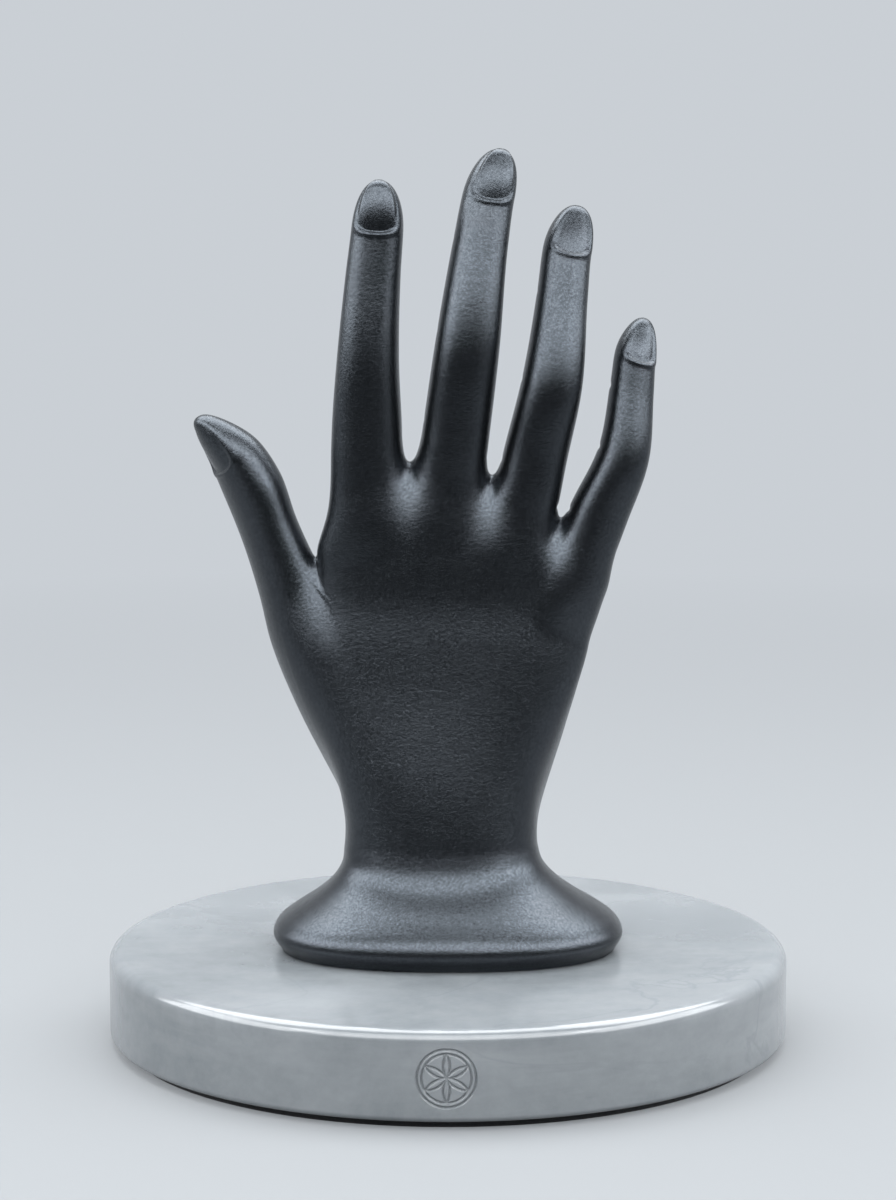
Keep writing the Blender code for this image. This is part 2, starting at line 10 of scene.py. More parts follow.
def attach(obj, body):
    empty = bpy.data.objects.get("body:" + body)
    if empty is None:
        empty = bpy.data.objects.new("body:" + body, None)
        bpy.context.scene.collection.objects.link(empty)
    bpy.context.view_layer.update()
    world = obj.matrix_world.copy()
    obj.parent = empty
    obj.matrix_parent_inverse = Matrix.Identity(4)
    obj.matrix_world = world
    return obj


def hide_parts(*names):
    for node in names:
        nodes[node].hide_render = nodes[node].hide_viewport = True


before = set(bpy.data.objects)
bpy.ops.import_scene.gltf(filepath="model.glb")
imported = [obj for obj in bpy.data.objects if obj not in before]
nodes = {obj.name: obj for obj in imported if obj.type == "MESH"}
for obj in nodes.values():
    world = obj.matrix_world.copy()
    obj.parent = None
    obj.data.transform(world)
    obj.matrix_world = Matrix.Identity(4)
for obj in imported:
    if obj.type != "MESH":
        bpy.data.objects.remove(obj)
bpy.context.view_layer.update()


def mm(*values):
    """Turn millimetres into an array of metres."""
    return np.array(values, dtype=float) * 0.001


# All lengths are in metres and all angles in degrees, unless a line says otherwise

VOXEL = 0.00055
HAND_TRIANGLES = 186000
SECTION_POINTS = 96
SECTION_STEP = 0.002
DOME_STEPS = 20
MOUND_SUBDIVISIONS = 4
HAND_SHARP_ANGLE = 60

# How its points are moved onto the field, and how its flat underside is cut
PROJECTION_STEPS = 4
PROBE = 0.00005
LEAST_SLOPE = 0.2
LONGEST_STEP = 0.003
EPSILON = 1e-9
SNAP = 0.0004
CUT_TOLERANCE = 1e-7

# Round marble base, as in the solid
BASE_RADIUS = 0.095
BASE_TOP_FILLET = 0.0035
BASE_LOWER_FILLET = 0.0015
BASE_BOTTOM = 0.0023
BASE_TOP = 0.0263
HAND_BOTTOM = 0.0266
SCREW_HOLE = 0.0035
COUNTERBORE_RADIUS = 0.009
COUNTERBORE_DEPTH = 0.0095
LOWER_FILLET_POINTS = 7
TOP_FILLET_POINTS = 13
ROUND_STEPS = 230
ON_SIDE = 1e-6
MARBLE_SHARP_ANGLE = 50

# Rosette cut in the front of the marble: x and height of its centre, then its sizes
ROSETTE_CENTRE = (-0.0004, 0.0140)
ROSETTE_PETALS = 6
ROSETTE_RING = 0.0076
ROSETTE_RADIUS = 0.0064
GROOVE_HALF_WIDTH = 0.00036
GROOVE_DEPTH = 0.00055
PATCH_HALF_WIDTH = 0.0088
PATCH_STEP = 0.00018

# Colours of the paint and the stone, and of the stone's pale flecks and thin veins
PAINT_DARK, PAINT_LIGHT = (0.033, 0.0375, 0.043), (0.059, 0.066, 0.074)
STONE_DARK, STONE_LIGHT = (0.102, 0.112, 0.120), (0.168, 0.179, 0.188)
STONE_FLECK = (0.27, 0.28, 0.29)
STONE_VEIN = (0.105, 0.115, 0.125)

# Camera, with its lens and sensor in millimetres, then floor, backdrop and fill
CAMERA_PLACE = (0.0, -0.9172, 0.2522)
CAMERA_TILT = 7.98
CAMERA_LENS = 100
CAMERA_SENSOR = 36
CAMERA_CLIP_START = 0.01
FLOOR_RADIUS = 12.0
FLOOR_SEGMENTS = 128
FLOOR_ROUGHNESS = 0.75
FLOOR_COLOUR = (0.165, 0.172, 0.178)
BACKDROP_COLOUR = (0.59, 0.625, 0.665)
BACKDROP_START = 0.3
BACKDROP_FADE = (0.12, 1.0)
FILL_COLOUR = (0.93, 0.97, 1.0)
FILL_STRENGTH = 0.18
LAMP_COLOUR = (0.96, 0.98, 1.0)

# How bright the front half of the studio is in gloss, and over which part of Y that fades out
FRONT_GLOSS = 0.14
FLOOR_FRONT_FADE = (-0.40, -0.10)
WORLD_FRONT_FADE = (-0.5, 0.4)

# Each softbox: name, place, point it faces, width and depth, power
SOFTBOXES = [
    ("overhead", (0.0, 0.36, 1.25), (0.0, 0.02, 0.10), (2.4, 1.00), 56),
    ("front_top", (0.0, -0.80, 1.06), (0.0, 0.0, 0.15), (2.4, 0.52), 19),
    ("front_high", (0.0, -1.15, 0.84), (0.0, 0.0, 0.17), (2.4, 0.45), 18.5),
    ("left_side", (-1.0, -0.16, 0.60), (0.0, 0.0, 0.16), (1.20, 0.58), 14.5),
    ("right_side", (1.0, -0.24, 0.60), (0.0, 0.0, 0.16), (1.20, 0.58), 14.5),
]


@dataclass
class Limb:
    """A form of rounded sections square to a straight line that leans in the XZ plane.

    Each profile is read at the stations, which are distances along the line from its root.
    Heights are taken from the underside of the foot. The form closes in a dome at its tip and
    in a tail at its root, and a crown lowers its top away from the crown's centre.
    """
    root: tuple
    lean: float
    roll: float
    stations: np.ndarray
    side: np.ndarray
    back_shift: np.ndarray
    half_width: np.ndarray
    back_depth: np.ndarray
    pad_depth: np.ndarray
    dome: float
    tail: float
    squareness: float = 2.2
    crown: float = 0.0
    crown_centre: float = 0.0
    crown_start: float = 0.0

    @property
    def reach(self):
        """Distance from the root to the tip."""
        return self.stations[-1]

    def frame(self):
        """Return the unit directions along the limb, to its side and out of its nail side."""
        lean, roll = math.radians(self.lean), math.radians(self.roll)
        along = np.array([math.sin(lean), 0.0, math.cos(lean)])
        across = np.array([math.cos(lean), 0.0, -math.sin(lean)])
        rear = np.array([0.0, 1.0, 0.0])
        side = math.cos(roll) * across - math.sin(roll) * rear
        back = -math.cos(roll) * rear - math.sin(roll) * across
        return along, side, back

    def profile(self, values, at):
        """Read one profile at distances along the limb."""
        return smooth(at, self.stations, values)

    def coordinates(self, points):
        """Return distance along, offset to the side and offset out of the nail side."""
        along, side, back = self.frame()
        relative = points - np.array(self.root)
        s = relative @ along
        u = relative @ side - self.profile(self.side, s)
        v = relative @ back - self.profile(self.back_shift, s)
        return s + self.crown_drop(points[:, 0], s), u, v

    def crown_drop(self, x, s):
        """Return how much lower the arched top runs at x, from nothing at its start."""
        return self.crown * (x - self.crown_centre) ** 2 * fade(s, self.crown_start, self.reach)

    def field(self, points):
        """Return about how far points lie outside the limb, negative inside."""
        s, u, v = self.coordinates(points)
        half = self.profile(self.half_width, s)
        depth = np.where(v > 0, self.profile(self.back_depth, s), self.profile(self.pad_depth, s))
        past = np.maximum(s - self.reach + self.dome, 0) / self.dome
        before = np.maximum(self.stations[0] + self.tail - s, 0) / self.tail
        n = self.squareness
        total = np.abs(u / half) ** n + np.abs(v / depth) ** n + past ** n + before ** n
        return ((total + EPSILON) ** (1 / n) - 1) * np.minimum(half, depth)

    def section(self, s):
        """Return one closed ring of points round the limb."""
        along, side, back = self.frame()
        n = self.squareness
        angle = np.linspace(0, 2 * math.pi, SECTION_POINTS, endpoint=False)
        past = max(s - self.reach + self.dome, 0) / self.dome
        before = max(self.stations[0] + self.tail - s, 0) / self.tail
        scale = max(1 - past ** n - before ** n, 0) ** (1 / n)
        at = np.array([s])
        cosine, sine = np.cos(angle), np.sin(angle)
        depth = np.where(sine > 0, self.profile(self.back_depth, at), self.profile(self.pad_depth, at))
        u = scale * self.profile(self.half_width, at) * np.sign(cosine) * np.abs(cosine) ** (2 / n)
        v = scale * depth * np.sign(sine) * np.abs(sine) ** (2 / n)
        u = u + self.profile(self.side, at)
        v = v + self.profile(self.back_shift, at)
        ring = np.array(self.root) + s * along + np.outer(u, side) + np.outer(v, back)
        ring[:, 2] -= self.crown_drop(ring[:, 0], s)
        return ring

    def rings(self):
        """Return the distances along the limb at which the loft has its sections."""
        start, dome_start = self.stations[0], self.reach - self.dome
        quarter = np.linspace(0, math.pi / 2, DOME_STEPS, endpoint=False)[1:]
        tail = start + self.tail * (1 - np.sin(quarter[::-1]))
        body = np.arange(start + self.tail, dome_start, SECTION_STEP)
        dome = dome_start + self.dome * np.sin(quarter)
        return np.concatenate([tail, body, [dome_start], dome])


@dataclass
class Mound:
    """An egg-shaped swelling under the skin."""
    centre: tuple
    half_sizes: tuple
    lean: float = 0.0

    def field(self, points):
        """Return about how far points lie outside the mound, negative inside."""
        lean = math.radians(self.lean)
        x, y, z = (points - np.array(self.centre)).T
        across = x * math.cos(lean) - z * math.sin(lean)
        along = x * math.sin(lean) + z * math.cos(lean)
        a, b, c = self.half_sizes
        radius = np.sqrt((across / a) ** 2 + (y / b) ** 2 + (along / c) ** 2 + EPSILON)
        return (radius - 1) * min(self.half_sizes)


def fade(value, low, high):
    """Rise smoothly from 0 at low to 1 at high."""
    t = np.clip((value - low) / (high - low), 0, 1)
    return t * t * (3 - 2 * t)


def smooth(at, stations, values):
    """Read a smooth curve through the values at the stations, held level past its ends."""
    slopes = np.gradient(values, stations)
    at = np.clip(at, stations[0], stations[-1])
    i = np.clip(np.searchsorted(stations, at) - 1, 0, len(stations) - 2)
    gap = stations[i + 1] - stations[i]
    t = (at - stations[i]) / gap
    start = (1 + 2 * t) * (1 - t) ** 2 * values[i] + t * (1 - t) ** 2 * gap * slopes[i]
    end = t * t * (3 - 2 * t) * values[i + 1] + t * t * (t - 1) * gap * slopes[i + 1]
    return start + end


# The foot, wrist and palm in one upright form. The stations are heights above the marble.
TRUNK = Limb(
    root=(0.0, 0.0, 0.0), lean=0.0, roll=0.0,
    stations=mm(-8, 0, 4.5, 8, 11.5, 15, 19, 23, 28, 34, 42, 51, 60, 72, 86, 98, 110, 133),
    side=mm(0, 0, 0, 0, 0, -0.3, -0.8, -1.4, -1.9, -1.9, -2.1, -2.3, -1.8, -0.4, 1.2, 2.2, 2.6, 4.5),
    half_width=mm(39, 46.2, 48.8, 47.2, 42.6, 36.8, 31.6, 28.4, 27.1, 26.8, 27.7, 29.8, 32.6, 36.0, 38.0,
                  38.3, 38.2, 39.0),
    back_shift=mm(5, 5, 5, 4.8, 4.5, 3.9, 3.2, 2.6, 2.2, 2, 1.6, 1, 0.5, 0, -0.5, -1, -1, -1),
    back_depth=mm(24, 30.4, 32.8, 31.8, 28.8, 25.2, 22.2, 20.6, 19.6, 19.0, 18.2, 17.2, 16, 14.4, 13, 12,
                  11.6, 9.5),
    pad_depth=mm(24, 30.4, 32.8, 31.8, 28.8, 25.2, 22.2, 20.6, 19.6, 19.0, 18.4, 17.8, 16.8, 15.2, 13.6,
                 12.6, 12, 11),
    dome=0.020, tail=0.006, squareness=2.3, crown=11.0, crown_centre=-0.010, crown_start=0.070)

# Fingers and thumb. Stations run from inside the palm, past the joints, to the tip.
FINGERS = {
    "index": Limb(
        root=(-0.0225, 0.0, 0.124), lean=2.5, roll=3,
        stations=mm(-22, -6, 8, 20, 39, 64, 76, 88.9),
        side=mm(1.5, 0.8, -0.3, -0.6, -1.0, -0.5, 0.1, 0.2),
        back_shift=mm(-5.0, 0.2, 1.3, 2.0, 3.4, 3.2, 2.9, 2.5),
        half_width=mm(8.0, 9.2, 9.8, 9.7, 8.6, 7.5, 7.1, 6.7),
        back_depth=mm(6.5, 7.8, 8.2, 8.2, 7.9, 6.7, 6.1, 5.0),
        pad_depth=mm(4.5, 8.4, 9.6, 9.3, 8.4, 7.2, 7.0, 5.6),
        dome=0.0138, tail=0.010),
    "middle": Limb(
        root=(-0.0003, 0.0, 0.124), lean=8.5, roll=-8,
        stations=mm(-22, -6, 8, 22, 45, 73, 85, 98.3),
        side=mm(-0.5, -0.5, -0.6, -1.0, -1.8, -1.8, -1.2, 0.7),
        back_shift=mm(-5.0, 0.6, 2.2, 3.4, 5.8, 2.2, -0.2, -3.2),
        half_width=mm(7.8, 8.7, 9.3, 9.2, 8.8, 7.5, 7.1, 6.8),
        back_depth=mm(6.5, 7.8, 8.2, 8.4, 8.2, 6.8, 6.2, 5.2),
        pad_depth=mm(4.5, 8.4, 9.6, 9.2, 8.5, 7.3, 7.1, 5.6),
        dome=0.0138, tail=0.010),
    "ring": Limb(
        root=(0.0195, 0.0, 0.117), lean=10.5, roll=-10,
        stations=mm(-21, -6, 8, 20, 42, 66, 78, 90.3),
        side=mm(-0.3, -0.1, 0.1, 0.2, 0.5, -0.2, -0.5, 0.9),
        back_shift=mm(-5.0, 0.6, 2.2, 3.0, 5.4, 0.6, -2.4, -6.2),
        half_width=mm(7.6, 8.4, 9.0, 8.8, 8.3, 7.0, 6.7, 6.4),
        back_depth=mm(6.4, 7.6, 8.0, 8.1, 7.9, 6.4, 5.8, 4.9),
        pad_depth=mm(4.5, 8.2, 9.4, 9.0, 8.2, 7.0, 6.8, 5.4),
        dome=0.0132, tail=0.010),
    "little": Limb(
        root=(0.0355, 0.0, 0.102), lean=14.5, roll=-22,
        stations=mm(-19, -6, 6, 20, 38, 56, 66, 75.4),
        side=mm(-3.4, -2.0, -0.6, 0.5, 2.2, 1.0, 0.3, 1.4),
        back_shift=mm(-4.5, -0.4, 0.8, 1.8, 3.8, 0.8, -1.2, -3.8),
        half_width=mm(6.4, 7.4, 8.0, 8.2, 7.1, 6.1, 5.6, 5.0),
        back_depth=mm(6.0, 7.2, 7.6, 7.5, 6.8, 5.7, 5.2, 4.4),
        pad_depth=mm(4.0, 7.6, 8.6, 8.2, 7.1, 6.2, 6.0, 4.8),
        dome=0.0125, tail=0.010),
    "thumb": Limb(
        root=(-0.043, 0.0085, 0.092), lean=-26, roll=60,
        stations=mm(-62, -40, -22, -4, 8, 24, 38, 48, 61.5),
        side=mm(1.3, 1.3, 0.8, 0.2, 0.8, 2.0, 2.5, 2.4, 0.8),
        back_shift=mm(-3, -2.2, -2.4, -2.8, -3.2, -3.6, -4.5, -4.0, -0.6),
        half_width=mm(12, 14, 14, 13, 11.4, 10.0, 10.2, 9.0, 6.6),
        back_depth=mm(10, 12.0, 12.8, 11.6, 9.4, 7.6, 7.4, 6.6, 5.2),
        pad_depth=mm(12, 13.5, 12, 8.4, 7.8, 7.6, 8.2, 7.4, 5.2),
        dome=0.0155, tail=0.012),
}

# Swellings on the palm
MOUNDS = [
    Mound((-0.0180, 0.0105, 0.064), mm(13.0, 11.5, 26.0), lean=-24),
    Mound((0.0180, 0.0080, 0.062), mm(11.5, 11.0, 25.0), lean=8),
    Mound((-0.0165, 0.0070, 0.109), mm(11.5, 7.5, 9.0)),
    Mound((0.0030, 0.0075, 0.109), mm(12.0, 7.5, 9.0)),
    Mound((0.0220, 0.0065, 0.101), mm(11.0, 7.5, 9.0), lean=25),
]

# Radii of the skin's run from one form into the next. The thumb's shrinks to the radius of its
# web between two heights.
FINGER_WEB = 0.0035
PALM_BLEND = 0.006
THUMB_BLEND = 0.006
THUMB_WEB = 0.0012
THUMB_WEB_HEIGHTS = (0.080, 0.112)
MOUND_BLEND = 0.009

# How nails sit in the skin
NAIL_MARGIN = 0.002
NAIL_LEAST_TAPER = 0.03
NAIL_FACING = (0.0, 0.0035)
NAIL_TIP_LIFT = 0.75
NAIL_TIP_RUN = 0.004
NAIL_SQUARENESS = 2.8
CUTICLE_CURVE = 0.6
FOLD_OFFSET = 0.9
FOLD_REACH = 0.006


@dataclass
class Nail:
    """A nail plate let into the back of a fingertip, which rises by its lift towards the tip."""
    length: float
    half_width: float
    lift: float
    recess: float = 0.0007
    lip: float = 0.00028
    edge: float = 0.0011


NAILS = {
    "index": Nail(0.0140, 0.0051, lift=0.0021),
    "middle": Nail(0.0138, 0.0052, lift=0.0020),
    "ring": Nail(0.0128, 0.0049, lift=0.0002),
    "little": Nail(0.0115, 0.0043, lift=0.0003),
    "thumb": Nail(0.0168, 0.0066, lift=0.0006),
}

# Creases across the inside of each finger, as distances below its tip
FINGER_CREASES = {
    "index": mm(25, 48, 70),
    "middle": mm(26, 51, 76),
    "ring": mm(25, 49, 72),
    "little": mm(20, 37, 56),
    "thumb": mm(),
}

# Sizes of the creases, and the skin they are kept to
CREASE_DEPTH = 0.0007
CREASE_WIDTH = 0.0008
CREASE_FACING = 0.006
CREASE_SPREAD = 1.5
CREASE_REACH = 0.02
PALM_FACE = 0.004
PALM_CREASE_STEPS = 24
PALM_CREASE_FADE = 0.12

# Palm creases, each through three points (x, height above the marble)
PALM_CREASES = [
    (mm(-33, 101), mm(-2, 88), mm(-4, 42)),
    (mm(-33, 103), mm(-2, 97), mm(26, 74)),
    (mm(44, 96), mm(12, 100), mm(-8, 124)),
]


def smooth_union(a, b, radius):
    """Join two fields with a fillet of about this radius."""
    mix = np.maximum(radius - np.abs(a - b), 0) / radius
    return np.minimum(a, b) - mix * mix * radius / 4


def hand_field(points):
    """Return about how far points lie outside the whole hand, negative inside."""
    palm = TRUNK.field(points)
    for mound in MOUNDS:
        palm = smooth_union(palm, mound.field(points), MOUND_BLEND)
    web = THUMB_BLEND + (THUMB_WEB - THUMB_BLEND) * fade(points[:, 2], *THUMB_WEB_HEIGHTS)
    palm = smooth_union(palm, FINGERS["thumb"].field(points), web)
    fingers = None
    for name in ("index", "middle", "ring", "little"):
        finger = FINGERS[name].field(points)
        fingers = finger if fingers is None else smooth_union(fingers, finger, FINGER_WEB)
    return smooth_union(palm, fingers, PALM_BLEND)


def field_and_slope(points):
    """Return the field and its gradient, from four probes round each point."""
    corners = np.array([(1, -1, -1), (-1, -1, 1), (-1, 1, -1), (1, 1, 1)], dtype=float)
    values = [hand_field(points + PROBE * corner) for corner in corners]
    slope = sum(np.outer(value, corner) for value, corner in zip(values, corners)) / (4 * PROBE)
    return sum(values) / 4, slope


def settle(points):
    """Move points onto the hand's surface and return them with their outward directions."""
    for _ in range(PROJECTION_STEPS):
        value, slope = field_and_slope(points)
        steepness = np.maximum(np.linalg.norm(slope, axis=1), LEAST_SLOPE)
        step = np.clip(value / steepness, -LONGEST_STEP, LONGEST_STEP)
        points = points - slope * (step / steepness)[:, None]
    _, slope = field_and_slope(points)
    return points, slope / np.linalg.norm(slope, axis=1)[:, None]


def nail_relief(limb, nail, points):
    """Return the height that a nail adds: a sunk plate inside a raised fold of skin."""
    s, u, v = limb.coordinates(points)
    below = limb.reach - s
    taper = 1 - (1 - np.clip(below / limb.dome, NAIL_LEAST_TAPER, 1)) ** 2
    half_width = nail.half_width * np.sqrt(taper)
    straight = nail.length - CUTICLE_CURVE * nail.half_width
    end = np.maximum(below - straight, 0) / (CUTICLE_CURVE * nail.half_width)
    n = NAIL_SQUARENESS
    radius = (np.abs(u / half_width) ** n + end ** n + EPSILON) ** (1 / n)
    outside = (radius - 1) * half_width
    facing = fade(v, *NAIL_FACING) * (below < nail.length + FOLD_REACH)
    plate = fade(-outside, -nail.edge / 2, nail.edge / 2)
    towards_tip = 1 - NAIL_TIP_LIFT * fade(-below, -NAIL_TIP_RUN, 0)
    fold = np.exp(-((outside - FOLD_OFFSET * nail.edge) / nail.edge) ** 2)
    rise = np.clip(1 - below / nail.length, 0, 1)
    ramp = nail.lift * rise * (2 - rise)
    return facing * (nail.lip * fold + plate * (ramp - nail.recess * towards_tip))


def finger_crease_relief(limb, creases, points):
    """Return the depth of the creases across the inside of a finger."""
    s, u, v = limb.coordinates(points)
    half = limb.profile(limb.half_width, s)
    inside = fade(-v, 0.0, CREASE_FACING) * (np.abs(u) < CREASE_SPREAD * half) * (v > -CREASE_REACH)
    groove = sum(np.exp(-((limb.reach - s - at) / CREASE_WIDTH) ** 2) for at in creases)
    return -CREASE_DEPTH * inside * groove


def palm_crease_relief(crease, points):
    """Return the depth of one curved crease in the palm."""
    start, middle, end = crease
    t = np.linspace(0, 1, PALM_CREASE_STEPS + 1)[:, None]
    bend = 2 * middle - (start + end) / 2
    path = (1 - t) ** 2 * start + 2 * t * (1 - t) * bend + t ** 2 * end
    flat = points[:, [0, 2]]
    gap = np.full(len(points), np.inf)
    depth = np.zeros(len(points))
    for a, b, at in zip(path[:-1], path[1:], t[:-1, 0]):
        run = b - a
        along = np.clip((flat - a) @ run / (run @ run), 0, 1)
        distance = np.linalg.norm(flat - a - along[:, None] * run, axis=1)
        nearer = distance < gap
        gap = np.where(nearer, distance, gap)
        swell = math.sin(math.pi * (PALM_CREASE_FADE + (1 - 2 * PALM_CREASE_FADE) * at))
        depth = np.where(nearer, swell, depth)
    return -CREASE_DEPTH * depth * np.exp(-(gap / CREASE_WIDTH) ** 2) * (points[:, 1] > PALM_FACE)


def relief(points):
    """Return how far the skin stands out at each point for nails and creases."""
    height = np.zeros(len(points))
    for name, limb in FINGERS.items():
        height += nail_relief(limb, NAILS[name], points)
        height += finger_crease_relief(limb, FINGER_CREASES[name], points)
    for crease in PALM_CREASES:
        height += palm_crease_relief(crease, points)
    return height


def near_nails(points):
    """Return which points lie on or close round a nail."""
    near = np.zeros(len(points), dtype=bool)
    for name, limb in FINGERS.items():
        s, u, v = limb.coordinates(points)
        nail = NAILS[name]
        reach = (limb.reach - s < nail.length + NAIL_MARGIN) & (limb.reach - s > -NAIL_MARGIN)
        near |= reach & (np.abs(u) < nail.half_width + NAIL_MARGIN) & (v > 0)
    return near


def mesh_points(mesh):
    """Return a mesh's vertices as an array."""
    points = np.empty(len(mesh.vertices) * 3, dtype=np.float32)
    mesh.vertices.foreach_get("co", points)
    return points.reshape(-1, 3).astype(float)


def new_object(name, bm):
    """Write a bmesh to a new object in the scene."""
    mesh = bpy.data.meshes.new(name)
    bm.to_mesh(mesh)
    bm.free()
    obj = bpy.data.objects.new(name, mesh)
    bpy.context.scene.collection.objects.link(obj)
    return obj


def apply_modifiers(obj):
    """Make the object's modifiers part of its mesh."""
    graph = bpy.context.evaluated_depsgraph_get()
    mesh = bpy.data.meshes.new_from_object(obj.evaluated_get(graph))
    obj.modifiers.clear()
    obj.data = mesh


def loft(bm, limb):
    """Skin one limb with rings of faces between its sections."""
    rings = [[bm.verts.new(point) for point in limb.section(s)] for s in limb.rings()]
    for lower, upper in zip(rings, rings[1:]):
        for i in range(SECTION_POINTS):
            j = (i + 1) % SECTION_POINTS
            bm.faces.new((lower[i], lower[j], upper[j], upper[i]))
    bm.faces.new(rings[0][::-1])
    bm.faces.new(rings[-1])


def add_mound(bm, mound):
    """Add one mound as a rounded ball of faces."""
    turn = Matrix.Rotation(math.radians(mound.lean), 4, "Y")
    shape = Matrix.Translation(mound.centre) @ turn @ Matrix.Diagonal((*mound.half_sizes, 1))
    bmesh.ops.create_icosphere(bm, subdivisions=MOUND_SUBDIVISIONS, radius=1, matrix=shape)


def split_near_nails(mesh):
    """Halve the faces round the nails, so that their edges come out crisp."""
    bm = bmesh.new()
    bm.from_mesh(mesh)
    bm.faces.ensure_lookup_table()
    centres = np.array([face.calc_center_median() for face in bm.faces])
    chosen = np.flatnonzero(near_nails(centres))
    edges = {edge for i in chosen for edge in bm.faces[i].edges}
    bmesh.ops.subdivide_edges(bm, edges=list(edges), cuts=1, use_grid_fill=True)
    bm.to_mesh(mesh)
    bm.free()


def make_hand():
    """The whole hand as one skin, from the solid's forms, with finer nails and creases."""
    bm = bmesh.new()
    for limb in (TRUNK, *FINGERS.values()):
        loft(bm, limb)
    for mound in MOUNDS:
        add_mound(bm, mound)
    bmesh.ops.recalc_face_normals(bm, faces=bm.faces[:])
    hand = new_object("hand_skin", bm)

    # Fuse the forms, then settle the skin on the field and press in nails and creases
    remesh = hand.modifiers.new("fuse", "REMESH")
    remesh.mode = "VOXEL"
    remesh.voxel_size = VOXEL
    apply_modifiers(hand)
    split_near_nails(hand.data)
    points, outward = settle(mesh_points(hand.data))
    points += outward * relief(points)[:, None]
    hand.data.vertices.foreach_set("co", points.astype(np.float32).ravel())

    # Thin out the flatter skin
    hand.data.calc_loop_triangles()
    thin = hand.modifiers.new("thin_out", "DECIMATE")
    thin.ratio = min(1.0, HAND_TRIANGLES / len(hand.data.loop_triangles))
    apply_modifiers(hand)

    # Cut the underside flat and stand the hand on the marble
    bm = bmesh.new()
    bm.from_mesh(hand.data)
    for vert in bm.verts:
        if abs(vert.co.z) < SNAP:
            vert.co.z = 0.0
    cut = bmesh.ops.bisect_plane(bm, geom=bm.verts[:] + bm.edges[:] + bm.faces[:], dist=CUT_TOLERANCE,
                                 plane_co=(0, 0, 0), plane_no=(0, 0, 1), clear_inner=True)
    rim = [item for item in cut["geom_cut"] if isinstance(item, bmesh.types.BMEdge)]
    bmesh.ops.edgenet_fill(bm, edges=rim)
    bmesh.ops.recalc_face_normals(bm, faces=bm.faces[:])
    bmesh.ops.translate(bm, verts=bm.verts[:], vec=(0, 0, HAND_BOTTOM))
    bm.to_mesh(hand.data)
    bm.free()
    hand.data.shade_smooth()
    hand.data.set_sharp_from_angle(angle=math.radians(HAND_SHARP_ANGLE))
    return hand


def rosette_depth(x, z):
    """Return how deep the engraving is at a place on the front of the marble."""
    x, z = x - ROSETTE_CENTRE[0], z - ROSETTE_CENTRE[1]
    radius = np.hypot(x, z)
    gap = np.minimum(np.abs(radius - ROSETTE_RING), np.abs(radius - ROSETTE_RADIUS))
    for i in range(ROSETTE_PETALS):
        turn = 2 * math.pi / ROSETTE_PETALS * i
        arc = np.hypot(x - ROSETTE_RADIUS * math.sin(turn), z - ROSETTE_RADIUS * math.cos(turn))
        petal = np.where(radius < ROSETTE_RADIUS, np.abs(arc - ROSETTE_RADIUS), np.inf)
        gap = np.minimum(gap, petal)
    return GROOVE_DEPTH * np.clip(1 - (gap / GROOVE_HALF_WIDTH) ** 2, 0, 1)


def fillet(centre, radius, start, points):
    """Return a quarter turn of (radius, height) points from an angle in degrees."""
    angles = np.radians(np.linspace(start, start + 90, points))
    return [(centre[0] + radius * math.cos(a), centre[1] + radius * math.sin(a)) for a in angles]


def make_marble():
    """The marble disc, with fine fillets and an engraved rosette on the front."""
    lower, upper = BASE_LOWER_FILLET, BASE_TOP_FILLET
    bore_top = BASE_BOTTOM + COUNTERBORE_DEPTH
    rows = np.arange(BASE_BOTTOM + lower, BASE_TOP - upper, PATCH_STEP)[1:-1]
    profile = [(SCREW_HOLE, BASE_TOP), (SCREW_HOLE, bore_top), (COUNTERBORE_RADIUS, bore_top),
               (COUNTERBORE_RADIUS, BASE_BOTTOM)]
    profile += fillet((BASE_RADIUS - lower, BASE_BOTTOM + lower), lower, -90, LOWER_FILLET_POINTS)
    profile += [(BASE_RADIUS, z) for z in rows]
    profile += fillet((BASE_RADIUS - upper, BASE_TOP - upper), upper, 0, TOP_FILLET_POINTS)
    radius, height = np.array(profile).T

    # Fine columns where the rosette is, and wider ones the rest of the way round
    patch = math.degrees(PATCH_HALF_WIDTH / BASE_RADIUS)
    patch_columns = round(2 * PATCH_HALF_WIDTH / PATCH_STEP)
    fine = np.linspace(-90 - patch, -90 + patch, patch_columns, endpoint=False)
    wide = np.linspace(-90 + patch, 270 - patch, ROUND_STEPS, endpoint=False)

    bm = bmesh.new()
    columns = []
    for turn in np.radians(np.concatenate([fine, wide])):
        across = BASE_RADIUS * (turn + math.pi / 2)
        on_side = (radius > BASE_RADIUS - ON_SIDE) & (abs(across) < PATCH_HALF_WIDTH)
        cut = radius - np.where(on_side, rosette_depth(across, height), 0)
        points = zip(cut * math.cos(turn), cut * math.sin(turn), height)
        columns.append([bm.verts.new(point) for point in points])
    for column, following in zip(columns, columns[1:] + columns[:1]):
        for j in range(len(column)):
            k = (j + 1) % len(column)
            bm.faces.new((column[j], following[j], following[k], column[k]))
    bmesh.ops.recalc_face_normals(bm, faces=bm.faces[:])
    marble = new_object("marble_disc", bm)
    marble.data.shade_smooth()
    marble.data.set_sharp_from_angle(angle=math.radians(MARBLE_SHARP_ANGLE))
    return marble


